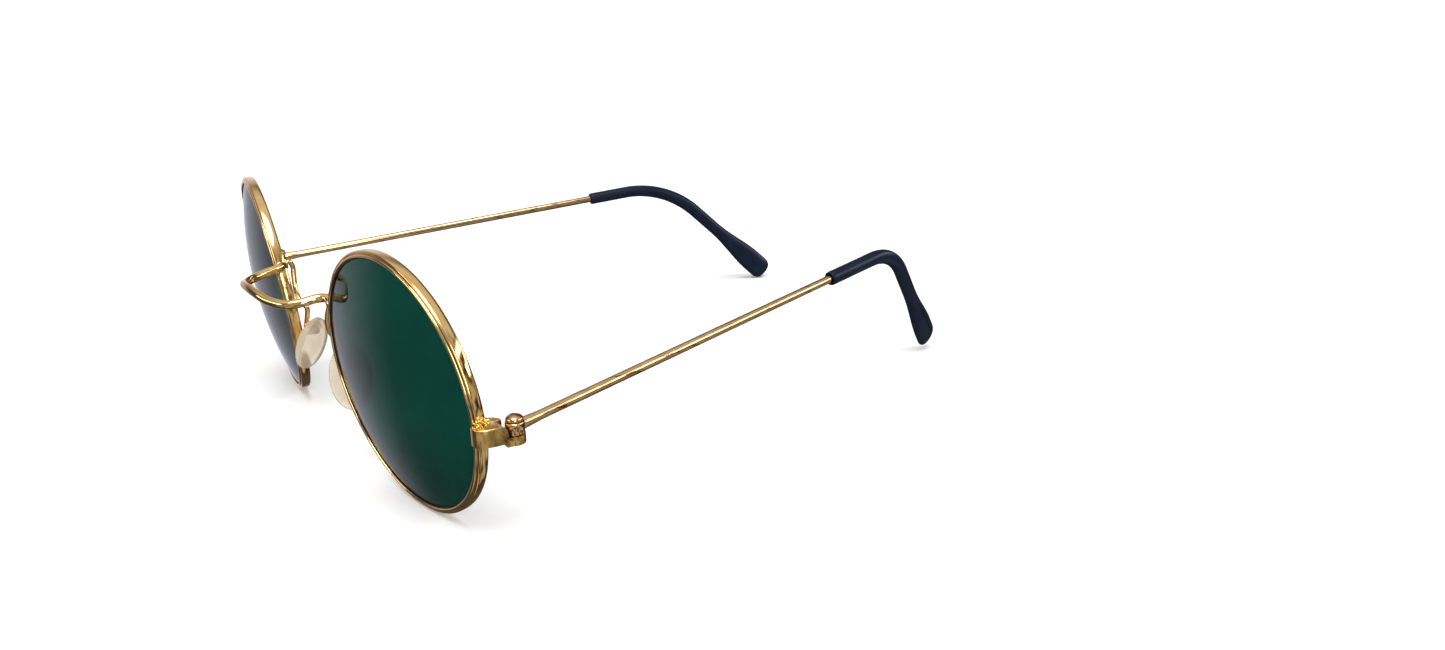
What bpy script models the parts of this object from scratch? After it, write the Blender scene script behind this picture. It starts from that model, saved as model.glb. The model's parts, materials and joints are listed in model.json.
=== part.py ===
"""Round wire-rim sunglasses, standing open on their rims and temple tips.

Frame: metres, +Z up, -Y the side that the lenses face, +X the wearer's left.
Sizes below are in millimetres, and mm() turns them into metres.
"""

import math

import bmesh
import bpy
from mathutils import Matrix, Vector

# Driving dimensions, in millimetres and degrees.
LENS_OPENING_RADIUS = 23.0
LENS_SPACING = 75.2
RIM_WIDTH = 1.2
RIM_DEPTH = 2.35
RIM_TILT = 4.7
FACE_WRAP = 7.9
LENS_THICKNESS = 1.6
LENS_CURVE_RADIUS = 82.0
WIRE_RADIUS = 0.85
HINGE_X = 63.2
HINGE_Y = 9.5
STRAP_BOTTOM = 20.9
STRAP_TOP = 24.0
LEAF_BOTTOM = 20.15
LEAF_TOP = 21.75
EYE_HEIGHT = 2.1
TEMPLE_Z = 22.9
TEMPLE_RISE = 3.8
TIP_RADIUS = 1.5
PADDLE_HALF_WIDTH = 3.1
PAD_HALF_LENGTH = 6.4
PAD_HALF_WIDTH = 4.1
PAD_DROP = -2.6
PAD_FORWARD = 1.0
CLEARANCE = 0.08

# The glasses reach from the bridge's bow to the ends of the temple tips.
# This places the frame's origin below the middle of that length.
FRONT_Y = -62.1

SIDES = ((1, "left"), (-1, "right"))

# Each temple is bent to suit one ear: its rest angle, measured inward from straight back,
# the bare wire's length, the straight run inside the tip before the bend, the bend's radius
# and angle, and the run after it.
TEMPLE_BENDS = {
    "left": {"rest": 10.0, "wire": 81.0, "run": 14.7, "radius": 14.5, "angle": 56.6, "shaft": 27.0},
    "right": {"rest": 11.5, "wire": 80.2, "run": 10.6, "radius": 26.4, "angle": 48.1, "shaft": 28.8},
}
TOE_IN = 9.0


def mm(value):
    return value * 0.001


def point(x, y, z):
    return Vector((mm(x), mm(y), mm(z)))


# Scene and materials

def empty_scene():
    for item in list(bpy.data.objects):
        bpy.data.objects.remove(item, do_unlink=True)


def new_collection(name):
    collection = bpy.data.collections.new(name)
    bpy.context.scene.collection.children.link(collection)
    return collection


def new_material(name, colour, metallic, roughness, alpha=1.0):
    material = bpy.data.materials.new(name)
    material.use_nodes = True
    shader = material.node_tree.nodes["Principled BSDF"]
    shader.inputs["Base Color"].default_value = (*colour, 1.0)
    shader.inputs["Metallic"].default_value = metallic
    shader.inputs["Roughness"].default_value = roughness
    shader.inputs["Alpha"].default_value = alpha
    material.diffuse_color = (*colour, alpha)
    return material


def add(name, data, material=None, parent=None, collection=None):
    item = bpy.data.objects.new(name, data)
    (collection or PARTS).objects.link(item)
    if material:
        data.materials.append(material)
    if parent:
        item.parent = parent
    return item


def add_empty(name, location, rotation=(0.0, 0.0, 0.0), order="XYZ", parent=None):
    item = bpy.data.objects.new(name, None)
    PARTS.objects.link(item)
    item.empty_display_size = mm(5.0)
    item.location = location
    item.rotation_mode = order
    item.rotation_euler = rotation
    item.parent = parent
    return item


def shade_round(mesh, angle=35.0):
    mesh.shade_smooth()
    mesh.set_sharp_from_angle(angle=math.radians(angle))


# Shapes

def turned(name, profile, steps, material, parent=None, collection=None):
    """Turn a profile of (radius, height) pairs about Z; its outer side runs downward."""
    mesh = bpy.data.meshes.new(name)
    corners = [(mm(radius), 0.0, mm(height)) for radius, height in profile]
    closed = profile[0][0] > 0.0
    edges = [(i, i + 1) for i in range(len(corners) - 1)]
    if closed:
        edges.append((len(corners) - 1, 0))
    mesh.from_pydata(corners, edges, [])
    item = add(name, mesh, material, parent, collection)
    screw = item.modifiers.new("turn", "SCREW")
    screw.axis = "Z"
    screw.steps = steps
    screw.render_steps = steps
    screw.use_smooth_shade = True
    screw.use_merge_vertices = True
    screw.merge_threshold = 0.000001
    return item


def wire_curve(name, points, radius, material=None, parent=None, sizes=None, roundness=2):
    """A round wire through points in millimetres; sizes scales its radius at each point."""
    curve = bpy.data.curves.new(name, "CURVE")
    curve.dimensions = "3D"
    curve.bevel_depth = mm(radius)
    curve.bevel_resolution = roundness
    curve.use_fill_caps = True
    spline = curve.splines.new("POLY")
    spline.points.add(len(points) - 1)
    for index, place in enumerate(points):
        spline.points[index].co = (*(Vector(place) * 0.001), 1.0)
        spline.points[index].radius = sizes[index] if sizes else 1.0
    return add(name, curve, material, parent)


def outline_curve(name, loops, thickness, material=None, parent=None):
    """A flat plate: closed loops of (x, y) in millimetres, the first outside, then holes."""
    curve = bpy.data.curves.new(name, "CURVE")
    curve.dimensions = "2D"
    curve.fill_mode = "BOTH"
    curve.extrude = mm(thickness / 2.0)
    for loop in loops:
        spline = curve.splines.new("POLY")
        spline.points.add(len(loop) - 1)
        for index, (x, y) in enumerate(loop):
            spline.points[index].co = (mm(x), mm(y), 0.0, 1.0)
        spline.use_cyclic_u = True
    return add(name, curve, material, parent)


def as_mesh(item):
    """Replace a curve object by the closed mesh that it makes."""
    bpy.context.view_layer.update()
    evaluated = item.evaluated_get(bpy.context.evaluated_depsgraph_get())
    mesh = bpy.data.meshes.new_from_object(evaluated)
    welded = bmesh.new()
    welded.from_mesh(mesh)
    bmesh.ops.remove_doubles(welded, verts=welded.verts, dist=0.000001)
    bmesh.ops.recalc_face_normals(welded, faces=welded.faces)
    welded.to_mesh(mesh)
    welded.free()
    name, parent, place = item.name, item.parent, item.matrix_local.copy()
    bpy.data.objects.remove(item, do_unlink=True)
    result = add(name, mesh, None, parent)
    result.matrix_local = place
    shade_round(mesh)
    return result


def box(name, size, material=None, parent=None, collection=None):
    mesh = bpy.data.meshes.new(name)
    shape = bmesh.new()
    bmesh.ops.create_cube(shape, size=1.0)
    bmesh.ops.scale(shape, vec=Vector(size) * 0.001, verts=shape.verts)
    shape.to_mesh(mesh)
    shape.free()
    return add(name, mesh, material, parent, collection)


def cylinder(name, radius, length, sides, material=None, parent=None, collection=None):
    mesh = bpy.data.meshes.new(name)
    shape = bmesh.new()
    bmesh.ops.create_cone(shape, cap_ends=True, segments=sides, radius1=mm(radius),
                          radius2=mm(radius), depth=mm(length))
    shape.to_mesh(mesh)
    shape.free()
    shade_round(mesh)
    return add(name, mesh, material, parent, collection)


def circle(centre, radius, sides, start=0.0, sweep=360.0):
    """Points of a circle, or of an arc when sweep is under a full turn."""
    count = sides if abs(sweep) >= 360.0 else sides + 1
    points = []
    for index in range(count):
        angle = math.radians(start + sweep * index / sides)
        points.append((centre[0] + radius * math.cos(angle), centre[1] + radius * math.sin(angle)))
    return points


def smooth_path(knots, per_span):
    """Points on a Catmull-Rom curve through the knots."""
    spots = [Vector(knot) for knot in knots]
    spots = [2 * spots[0] - spots[1]] + spots + [2 * spots[-1] - spots[-2]]
    path = []
    for a, b, c, d in zip(spots, spots[1:], spots[2:], spots[3:]):
        for step in range(per_span):
            t = step / per_span
            path.append(0.5 * (2 * b + (c - a) * t + (2 * a - 5 * b + 4 * c - d) * t * t
                               + (3 * b - a - 3 * c + d) * t ** 3))
    path.append(spots[-2])
    return path


def cut(item, cutter, operation="DIFFERENCE"):
    step = item.modifiers.new(cutter.name, "BOOLEAN")
    step.operation = operation
    step.object = cutter
    step.solver = "EXACT"
    cutter.hide_render = True
    cutter.display_type = "WIRE"


def as_cutter(item):
    for collection in list(item.users_collection):
        collection.objects.unlink(item)
    CUTTERS.objects.link(item)
    return item


# Rims and lenses, turned about the lens axis with the front upward

def rim_section():
    inner = LENS_OPENING_RADIUS
    outer = inner + RIM_WIDTH
    half = RIM_DEPTH / 2.0
    return [
        (inner, half - 0.25), (inner + 0.3, half), (outer - 0.4, half), (outer, half - 0.5),
        (outer, 0.5 - half), (outer - 0.4, -half), (inner + 0.3, -half), (inner, 0.25 - half),
        (inner, -0.55), (inner + 0.55, -0.15), (inner + 0.55, 0.15), (inner, 0.55),
    ]


def lens_section(rings=5):
    edge = LENS_OPENING_RADIUS - CLEARANCE
    half = LENS_THICKNESS / 2.0

    def dish(radius, curve_radius):
        return math.sqrt(curve_radius ** 2 - radius ** 2) - math.sqrt(curve_radius ** 2 - edge ** 2)

    radii = [edge * index / rings for index in range(rings + 1)]
    front = [(radius, half + dish(radius, LENS_CURVE_RADIUS)) for radius in radii]
    back_curve = LENS_CURVE_RADIUS - LENS_THICKNESS
    back = [(radius, dish(radius, back_curve) - half) for radius in reversed(radii)]
    bevel = [(edge, 0.47), (edge + 0.5, 0.09), (edge + 0.5, -0.09), (edge, -0.47)]
    return front + bevel + back


RIM_STEPS = 48
SPLIT_ANGLE = -4.8


def lens_centre_height():
    """Height of the lens centre at which the tilted rim's lowest edge is on the ground."""
    tilt = math.radians(RIM_TILT)
    outer = LENS_OPENING_RADIUS + RIM_WIDTH
    return outer * math.cos(tilt) - 0.5 * math.sin(tilt)


def make_rim_and_lens(side, label, gold, green):
    axis = add_empty("lens_axis_" + label, point(side * LENS_SPACING / 2.0, 0.0, lens_centre_height()),
                     (math.radians(RIM_TILT), 0.0, side * math.radians(FACE_WRAP)), "ZYX", FRONT)
    rim = turned("rim_" + label, rim_section(), RIM_STEPS, gold, axis)
    lens = turned("lens_" + label, lens_section(), RIM_STEPS, green, axis)
    for item in (rim, lens):
        item.location = point(0.0, RIM_DEPTH / 2.0, 0.0)
        item.rotation_euler = (math.radians(90.0), 0.0, 0.0)
    middle = LENS_OPENING_RADIUS + RIM_WIDTH / 2.0
    split = box("rim_split_" + label, (4.0, 4.0, 0.3), None, axis, CUTTERS)
    angle = math.radians(SPLIT_ANGLE)
    split.location = point(side * middle * math.cos(angle), RIM_DEPTH / 2.0, middle * math.sin(angle))
    split.rotation_euler = (0.0, -side * angle, 0.0)
    cut(rim, split)
    return axis


# End pieces, rim locks and hinges

def end_piece_outline():
    """Seen from above, in the left side's coordinates: it wraps the rim and ends in the hinge."""
    knuckle = circle((HINGE_X, HINGE_Y), KNUCKLE_RADIUS, 10, -35.0, 210.0)
    front = [(60.9, 3.2), (60.95, 2.85), (61.5, 2.65), (62.5, 2.7), (63.3, 3.1), (63.9, 4.0), (64.3, 5.6)]
    inside = [(61.6, 7.2), (61.45, 5.8), (61.1, 4.4), (60.95, 3.6)]
    return front + knuckle + inside


def mirrored(points, side):
    return [(side * x, y) for x, y in points]


def plate(name, loops, low, high, side, parent):
    """A flat piece from one height to another, drawn in the left side's coordinates."""
    piece = outline_curve(name, [mirrored(loop, side) for loop in loops], high - low, None, parent)
    piece.location = point(0.0, 0.0, (low + high) / 2.0)
    return as_mesh(piece)


KNUCKLE_RADIUS = 1.65
SCREW_RADIUS = 0.55
SCREW_HOLE = 0.64


def make_end_piece(side, label, gold, rim_axis):
    hole = circle((HINGE_X, HINGE_Y), SCREW_HOLE, 12)
    piece = plate("end_piece_" + label, [end_piece_outline(), hole], LEAF_BOTTOM, STRAP_TOP, side, FRONT)
    piece.data.materials.append(gold)

    outer = LENS_OPENING_RADIUS + RIM_WIDTH + CLEARANCE
    half = RIM_DEPTH / 2.0 + CLEARANCE
    inner = LENS_OPENING_RADIUS - 0.9
    saddle = turned("rim_saddle_" + label, [(inner, half), (outer - 0.35, half), (outer, half - 0.45),
                    (outer, 0.45 - half), (outer - 0.35, -half), (inner, -half)],
                    RIM_STEPS, None, rim_axis, CUTTERS)
    saddle.location = point(0.0, RIM_DEPTH / 2.0, 0.0)
    saddle.rotation_euler = (math.radians(90.0), 0.0, 0.0)
    cut(piece, saddle)

    above = STRAP_TOP + 1.0
    seat = cylinder("eye_seat_" + label, KNUCKLE_RADIUS + 0.1, above - LEAF_TOP, 20, None, FRONT, CUTTERS)
    seat.location = point(side * HINGE_X, HINGE_Y, (above + LEAF_TOP) / 2.0)
    cut(piece, seat)
    notch = box("fold_notch_" + label, (3.0, 3.0, above - LEAF_TOP), None, FRONT, CUTTERS)
    notch.location = point(side * (HINGE_X - 2.1), HINGE_Y + 0.2, (above + LEAF_TOP) / 2.0)
    cut(piece, notch)
    below = LEAF_BOTTOM - 1.0
    step = box("strap_underside_" + label, (8.0, 8.0, STRAP_BOTTOM - below), None, FRONT, CUTTERS)
    step.location = point(side * HINGE_X, HINGE_Y - 2.0 - 4.0, (STRAP_BOTTOM + below) / 2.0)
    cut(piece, step)


LOCK_OUTLINE = ((59.3, 6.3), (59.5, 6.05), (61.2, 6.1), (61.25, 7.3), (61.3, 8.1), (60.6, 8.1), (59.6, 7.5),
                (59.3, 7.0))
LOCK_SCREW_X = 60.35
LOCK_SCREW_Y = 6.95
LOCK_SPLIT = 22.2


def make_rim_lock(side, label, gold, steel):
    """The two blocks soldered to the rim's ends, and the screw that pulls them together."""
    hole = circle((LOCK_SCREW_X, LOCK_SCREW_Y), 0.44, 12)
    for part_name, low, high in (("upper", LOCK_SPLIT + 0.15, STRAP_TOP - 0.1),
                                 ("lower", STRAP_BOTTOM, LOCK_SPLIT - 0.15)):
        name = "rim_lock_%s_%s" % (part_name, label)
        block = plate(name, [list(LOCK_OUTLINE), hole], low, high, side, FRONT)
        block.data.materials.append(gold)
    low = STRAP_BOTTOM - 0.5
    seat = STRAP_BOTTOM - CLEARANCE
    end = STRAP_TOP - 0.5
    screw = turned("rim_lock_screw_" + label,
                   [(0.0, end), (0.36, end), (0.36, seat), (0.7, seat), (0.7, low + 0.15), (0.5, low),
                    (0.0, low)], 12, steel, FRONT)
    screw.location = point(side * LOCK_SCREW_X, LOCK_SCREW_Y, 0.0)
    slot = box("lock_slot_" + label, (1.6, 0.22, 0.4), None, screw, CUTTERS)
    slot.location = point(0.0, 0.0, low)
    cut(screw, slot)


def make_hinge_screw(side, label, gold):
    """A domed, slotted head on the temple's eye, and a shank whose end shows below the leaf."""
    base = TEMPLE_Z + EYE_HEIGHT / 2.0 + 0.1
    rise = 1.05
    radius = 1.45
    dome = []
    for index in range(5):
        angle = math.radians(90.0 * index / 4)
        dome.append((radius * math.sin(angle), base + 0.2 + (rise - 0.2) * math.cos(angle)))
    tip = LEAF_BOTTOM - 0.35
    shank = [(radius, base), (SCREW_RADIUS, base), (SCREW_RADIUS, tip + 0.2), (0.35, tip), (0.0, tip)]
    screw = turned("hinge_screw_" + label, dome + shank, 20, gold, FRONT)
    screw.location = point(side * HINGE_X, HINGE_Y, 0.0)
    slot = box("screw_slot_" + label, (3.4, 0.35, 0.5), None, screw, CUTTERS)
    slot.location = point(0.0, 0.0, base + rise)
    slot.rotation_euler = (0.0, 0.0, math.radians(side * 25.0))
    cut(screw, slot)


# Temples and their tips, in the hinge's frame: +Y runs along the open temple

def temple_route(bend, start, end, spacing):
    """Walk along the temple's centre line from start to end, in millimetres from the hinge.

    The line rises gently, turns down behind the ear, and then toes in towards the head.
    Returns a list of (place, direction) pairs, closer together round the bend.
    """
    bend_start = bend["wire"] + bend["run"]
    bend_length = bend["radius"] * math.radians(bend["angle"])

    def direction(distance):
        share = min(max((distance - bend_start) / bend_length, 0.0), 1.0)
        pitch = math.radians(TEMPLE_RISE - bend["angle"] * share)
        toe = math.radians(TOE_IN * share)
        return Vector((-bend["side"] * math.sin(toe) * math.cos(pitch),
                       math.cos(toe) * math.cos(pitch), math.sin(pitch)))

    step = 0.25
    place = Vector((0.0, 0.0, 0.0))
    distance = 0.0
    fine = [(0.0, place.copy())]
    while distance < end - 1e-9:
        length = min(step, end - distance)
        place += direction(distance + length / 2.0) * length
        distance += length
        fine.append((distance, place.copy()))

    def spot(wanted):
        for (near, a), (far, b) in zip(fine, fine[1:]):
            if far >= wanted - 1e-9:
                return a.lerp(b, (wanted - near) / (far - near))
        return fine[-1][1]

    def stops():
        places = [start]
        while places[-1] < end - 1e-6:
            here = places[-1]
            inside = bend_start - 1.0 < here < bend_start + bend_length
            if here < bend_start - 1.0:
                nearest = bend_start - 1.0
            else:
                nearest = end
            places.append(min(here + (spacing if inside else 4.0 * spacing), nearest, end))
        return places

    return [(spot(distance), direction(distance)) for distance in stops()]


def make_temple(side, label, gold, hinge):
    bend = TEMPLE_BENDS[label]
    bend["side"] = side
    sleeve_start = bend["wire"]
    bend_length = bend["radius"] * math.radians(bend["angle"])
    full = sleeve_start + bend["run"] + bend_length + bend["shaft"]
    core = temple_route(bend, sleeve_start + 1.5, full - 3.0, 1.9)
    neck = [temple_route(bend, distance, 6.0, 1.0)[0][0] for distance in (0.95, 2.4, 5.0)]
    entry = temple_route(bend, sleeve_start - 0.3, sleeve_start, 1.0)[0][0]
    points = neck + [entry] + [place for place, _ in core]
    flat = EYE_HEIGHT / 2.0 / WIRE_RADIUS
    sizes = [0.98 * flat, 0.95 * flat, 1.0, 1.0] + [0.7] * len(core)
    temple = as_mesh(wire_curve("temple_" + label, points, WIRE_RADIUS, None, hinge, sizes))
    temple.data.materials.append(gold)

    eye = circle((0.0, 0.0), KNUCKLE_RADIUS - 0.05, 16, 130.0, 280.0) + [(0.9, 1.9), (-0.9, 1.9)]
    hole = circle((0.0, 0.0), SCREW_HOLE, 12)
    ring = plate("temple_eye_" + label, [eye, hole], -EYE_HEIGHT / 2.0, EYE_HEIGHT / 2.0, 1, hinge)
    cut(temple, as_cutter(ring), "UNION")


def tip_section(share):
    """Half width and half thickness of the tip at a share of its length."""
    flare = min(max((share - 0.66) / 0.25, 0.0), 1.0)
    flare = flare * flare * (3.0 - 2.0 * flare)
    oval = min(max((share - 0.2) / 0.3, 0.0), 1.0)
    half_width = TIP_RADIUS + 0.2 * oval + (PADDLE_HALF_WIDTH - TIP_RADIUS - 0.2) * flare
    half_thickness = TIP_RADIUS - 0.1 * oval - 0.05 * flare
    return half_width, half_thickness


def make_temple_tip(side, label, plastic, hinge, sides=14):
    bend = TEMPLE_BENDS[label]
    bend_length = bend["radius"] * math.radians(bend["angle"])
    start = bend["wire"]
    length = bend["run"] + bend_length + bend["shaft"]
    full = start + length
    rounding = 2.6
    route = temple_route(bend, start, full - rounding, 1.8)
    shape = bmesh.new()
    rings = []

    def add_ring(place, direction, half_width, half_thickness):
        across = Vector((1.0, 0.0, 0.0))
        across = (across - across.dot(direction) * direction).normalized()
        upward = direction.cross(across)
        ring = []
        for index in range(sides):
            angle = 2.0 * math.pi * index / sides
            offset = (across * half_thickness * math.cos(angle)
                      + upward * half_width * math.sin(angle))
            ring.append(shape.verts.new((place + offset) * 0.001))
        rings.append(ring)

    first, heading = route[0]
    add_ring(first, heading, TIP_RADIUS - 0.35, TIP_RADIUS - 0.35)
    add_ring(first + heading * 0.45, heading, TIP_RADIUS, TIP_RADIUS)
    walked = 0.0
    previous = route[0][0]
    for place, direction in route[1:]:
        walked += (place - previous).length
        previous = place
        add_ring(place, direction, *tip_section(walked / length))
    last, heading = route[-1]
    half_width, half_thickness = tip_section(1.0)
    for angle in (25.0, 50.0, 72.0):
        slide = rounding * math.sin(math.radians(angle))
        shrink = math.cos(math.radians(angle))
        add_ring(last + heading * slide, heading, half_width * shrink ** 0.7, half_thickness * shrink)
    for near, far in zip(rings, rings[1:]):
        for index in range(sides):
            following = (index + 1) % sides
            shape.faces.new((near[index], near[following], far[following], far[index]))
    shape.faces.new(rings[0])
    shape.faces.new(rings[-1])
    bmesh.ops.recalc_face_normals(shape, faces=shape.faces)
    mesh = bpy.data.meshes.new("temple_tip_" + label)
    shape.to_mesh(mesh)
    shape.free()
    shade_round(mesh)
    tip = add("temple_tip_" + label, mesh, plastic, hinge)

    core = temple_route(bend, start + 1.4, full - 2.5, 1.9)
    mouth = temple_route(bend, start - 0.8, start, 1.0)[0][0]
    points = [mouth, temple_route(bend, start + 1.2, start + 1.3, 1.0)[0][0]]
    points += [place for place, _ in core]
    bore_size = (WIRE_RADIUS * 0.7 + 0.1) / (WIRE_RADIUS + 0.1)
    sizes = [1.0, 1.0] + [bore_size] * len(core)
    bore = wire_curve("tip_bore_" + label, points, WIRE_RADIUS + 0.1, None, hinge, sizes)
    bore = as_cutter(as_mesh(bore))
    cut(tip, bore)


# Bridge, pad arms and nose pads

def rim_spot(side, angle, radius, depth):
    """A place on a rim in front-frame millimetres: angle from the temple side, depth behind the lip."""
    turn = math.radians(angle)
    spot = Vector((side * radius * math.cos(turn), depth, radius * math.sin(turn)))
    spot = Matrix.Rotation(side * math.radians(FACE_WRAP), 3, "Z") @ spot
    spot.x += side * LENS_SPACING / 2.0
    spot = Matrix.Rotation(math.radians(RIM_TILT), 3, "X") @ spot
    spot.z += lens_centre_height()
    return spot


BRIDGE_ANGLE = 155.8
BRIDGE_KNOTS = ((13.7, -2.75, 34.5), (12.45, -4.3, 34.5), (11.9, -7.0, 34.1), (10.4, -9.6, 33.9),
                (7.2, -11.6, 34.3), (3.6, -12.7, 35.1), (0.0, -13.1, 35.55))


def make_bridge(gold):
    outer = LENS_OPENING_RADIUS + RIM_WIDTH
    half = [rim_spot(1, BRIDGE_ANGLE, outer + CLEARANCE, RIM_DEPTH / 2.0)]
    half += [Vector(knot) for knot in BRIDGE_KNOTS]
    other = [Vector((-spot.x, spot.y, spot.z)) for spot in reversed(half[:-1])]
    wire_curve("bridge", smooth_path(half + other, 3), WIRE_RADIUS, gold, FRONT)


PAD_PIVOT = (12.6, 0.9, 20.6)
PAD_FLARE = 21.0
PAD_LEAN = 7.0
PAD_SPLAY = 25.0


def pad_frame(side):
    """Rotation whose columns are the pad's width, its length upward, and the way to the nose."""
    flare = math.radians(PAD_FLARE)
    splay = math.radians(PAD_SPLAY)
    up = Vector((-side * math.tan(flare), math.tan(math.radians(PAD_LEAN)), 1.0)).normalized()
    width = Vector((-math.sin(splay), -side * math.cos(splay), 0.0))
    width = (width - width.dot(up) * up).normalized()
    nose = width.cross(up)
    return Matrix((width, up, nose)).transposed()


def make_nose_pad(side, label, clear, gold, steel):
    x, y, z = PAD_PIVOT
    turn = pad_frame(side).to_euler()
    pivot = add_empty("pad_pivot_" + label, point(side * x, y, z), turn, "XYZ", FRONT)

    mesh = bpy.data.meshes.new("nose_pad_" + label)
    shape = bmesh.new()
    bmesh.ops.create_uvsphere(shape, u_segments=20, v_segments=10, radius=1.0)
    for corner in shape.verts:
        thickness = 1.15 if corner.co.z > 0.0 else 0.55
        corner.co = Vector((mm(PAD_HALF_WIDTH) * corner.co.x, mm(PAD_HALF_LENGTH) * corner.co.y,
                            mm(thickness) * corner.co.z))
        corner.co += point(side * PAD_FORWARD, PAD_DROP, 1.45)
    shape.to_mesh(mesh)
    shape.free()
    shade_round(mesh)
    pad = add("nose_pad_" + label, mesh, clear, pivot)
    stem = box("pad_stem_" + label, (1.0, 1.0, 1.9), None, pivot, CUTTERS)
    stem.location = point(0.0, 0.0, 0.5)
    cut(pad, stem, "UNION")
    eye = cylinder("pad_stem_eye_" + label, 0.33, 1.6, 12, None, pivot, CUTTERS)
    eye.rotation_euler = (0.0, math.radians(90.0), 0.0)
    cut(pad, eye)

    holder = box("pad_box_" + label, (2.4, 2.2, 1.5), gold, pivot)
    holder.location = point(0.0, 0.0, -0.25)
    soften = holder.modifiers.new("soften", "BEVEL")
    soften.width = mm(0.2)
    soften.segments = 2
    pocket = box("pad_pocket_" + label, (1.2, 1.5, 1.6), None, pivot, CUTTERS)
    pocket.location = point(0.0, 0.0, 0.15)
    cut(holder, pocket)
    cross_hole = cylinder("pad_pin_hole_" + label, 0.33, 3.0, 12, None, pivot, CUTTERS)
    cross_hole.rotation_euler = (0.0, math.radians(90.0), 0.0)
    cut(holder, cross_hole)

    pin = turned("pad_pin_" + label, [(0.0, 1.65), (0.35, 1.65), (0.5, 1.5), (0.5, 1.28), (0.25, 1.28),
                                      (0.25, -1.3), (0.0, -1.3)], 12, steel, pivot)
    pin.rotation_euler = (0.0, math.radians(90.0), 0.0)


ARM_RADIUS = 0.5
ARM_ANGLE = 154.0

# The two arms are bent by hand and differ: the left one loops upward first.
ARM_KNOTS = {
    "left": ((15.6, 0.1, 34.0), (14.8, 0.55, 34.9), (14.3, 0.6, 36.6), (13.6, -0.1, 37.7), (12.9, -0.9, 37.2),
             (12.4, -1.5, 35.0), (11.9, -2.0, 32.6), (11.2, -2.5, 29.9), (11.0, -2.3, 27.2), (11.6, -1.1, 25.0)),
    "right": ((16.3, -0.1, 33.3), (16.1, -0.2, 31.6), (15.5, -0.4, 29.4), (14.5, -0.5, 27.6),
              (13.4, -0.2, 26.2), (12.8, 0.6, 24.9)),
}


def make_pad_arm(side, label, gold):
    middle = LENS_OPENING_RADIUS + RIM_WIDTH / 2.0
    start = [rim_spot(side, ARM_ANGLE, middle, RIM_DEPTH + gap) for gap in (0.15, 0.75)]
    x, y, z = PAD_PIVOT
    frame = pad_frame(side)
    holder = Vector((side * x, y, z))
    finish = [holder + frame @ Vector((0.0, 0.9, -1.0 - CLEARANCE - ARM_RADIUS)),
              holder + frame @ Vector((0.0, -0.6, -1.0 - CLEARANCE - ARM_RADIUS))]
    knots = start + [Vector((side * a, b, c)) for a, b, c in ARM_KNOTS[label]] + finish
    wire_curve("pad_arm_" + label, smooth_path(knots, 3), ARM_RADIUS, gold, FRONT)


empty_scene()
PARTS = new_collection("round_wire_sunglasses")
CUTTERS = new_collection("cutters")
GOLD = new_material("gold_plate", (0.78, 0.56, 0.30), 1.0, 0.22)
STEEL = new_material("screw_steel", (0.62, 0.52, 0.38), 1.0, 0.32)
GREEN = new_material("green_lens", (0.01, 0.10, 0.08), 0.0, 0.05, 0.8)
NAVY = new_material("tip_plastic", (0.010, 0.014, 0.030), 0.0, 0.28)
CLEAR = new_material("pad_silicone", (0.72, 0.66, 0.58), 0.0, 0.3, 0.7)
FRONT = add_empty("front_frame", point(0.0, FRONT_Y, 0.0))

make_bridge(GOLD)
for SIDE, LABEL in SIDES:
    RIM_AXIS = make_rim_and_lens(SIDE, LABEL, GOLD, GREEN)
    make_end_piece(SIDE, LABEL, GOLD, RIM_AXIS)
    make_rim_lock(SIDE, LABEL, GOLD, STEEL)
    make_hinge_screw(SIDE, LABEL, GOLD)
    HINGE = add_empty("hinge_axis_" + LABEL, point(SIDE * HINGE_X, HINGE_Y, TEMPLE_Z),
                      (0.0, 0.0, SIDE * math.radians(TEMPLE_BENDS[LABEL]["rest"])), "XYZ", FRONT)
    make_temple(SIDE, LABEL, GOLD, HINGE)
    make_temple_tip(SIDE, LABEL, NAVY, HINGE)
    make_pad_arm(SIDE, LABEL, GOLD)
    make_nose_pad(SIDE, LABEL, CLEAR, GOLD, STEEL)
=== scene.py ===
"""Looks for the round wire-rim sunglasses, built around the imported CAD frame.

Lengths are in millimetres in the design's own front frame, whose origin lies between the
lenses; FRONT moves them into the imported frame, in metres.
"""

import json
import math

import bmesh
import bpy
from mathutils import Matrix, Vector, noise

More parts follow.
